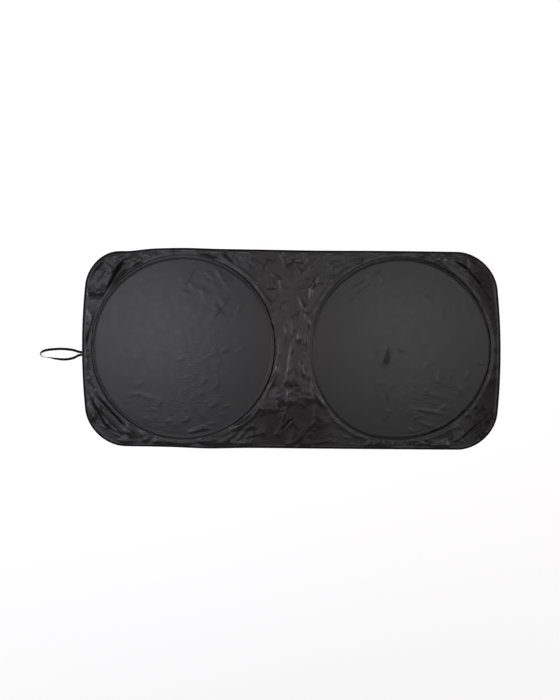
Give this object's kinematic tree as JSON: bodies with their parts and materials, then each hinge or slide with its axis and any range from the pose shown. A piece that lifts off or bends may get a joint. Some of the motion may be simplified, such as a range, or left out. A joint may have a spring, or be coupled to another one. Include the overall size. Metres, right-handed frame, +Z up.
{
  "type": "windscreen sunshade",
  "caption": "Twist-fold car windscreen sunshade: a dark cloth panel held open by two sprung steel hoops in sewn casings, with a bound edge and an elastic holding loop.",
  "frame": {"origin": "under the middle of the panel, on the surface that it lies on", "axes": "+X along the long side, with the elastic loop at -X; +Y across the panel, up in the picture; +Z up out of the dark face"},
  "size_m": [1.5976, 0.6996, 0.0065],
  "materials": {
    "panel_cloth": "satin coated taffeta",
    "binding_tape": "matte woven tape",
    "casing_tape": "matte woven tape",
    "spring_steel": "bare rolled strip",
    "sleeve_steel": "dull crimped tube",
    "loop_elastic": "woven elastic"
  },
  "bodies": {
    "root": {"shade_panel": "panel_cloth", "edge_binding": "binding_tape", "left_hoop_casing": "casing_tape", "left_hoop": "spring_steel", "left_hoop_sleeve": "sleeve_steel", "right_hoop_casing": "casing_tape", "right_hoop": "spring_steel", "right_hoop_sleeve": "sleeve_steel", "holding_loop": "loop_elastic"}
  },
  "joints": []
}
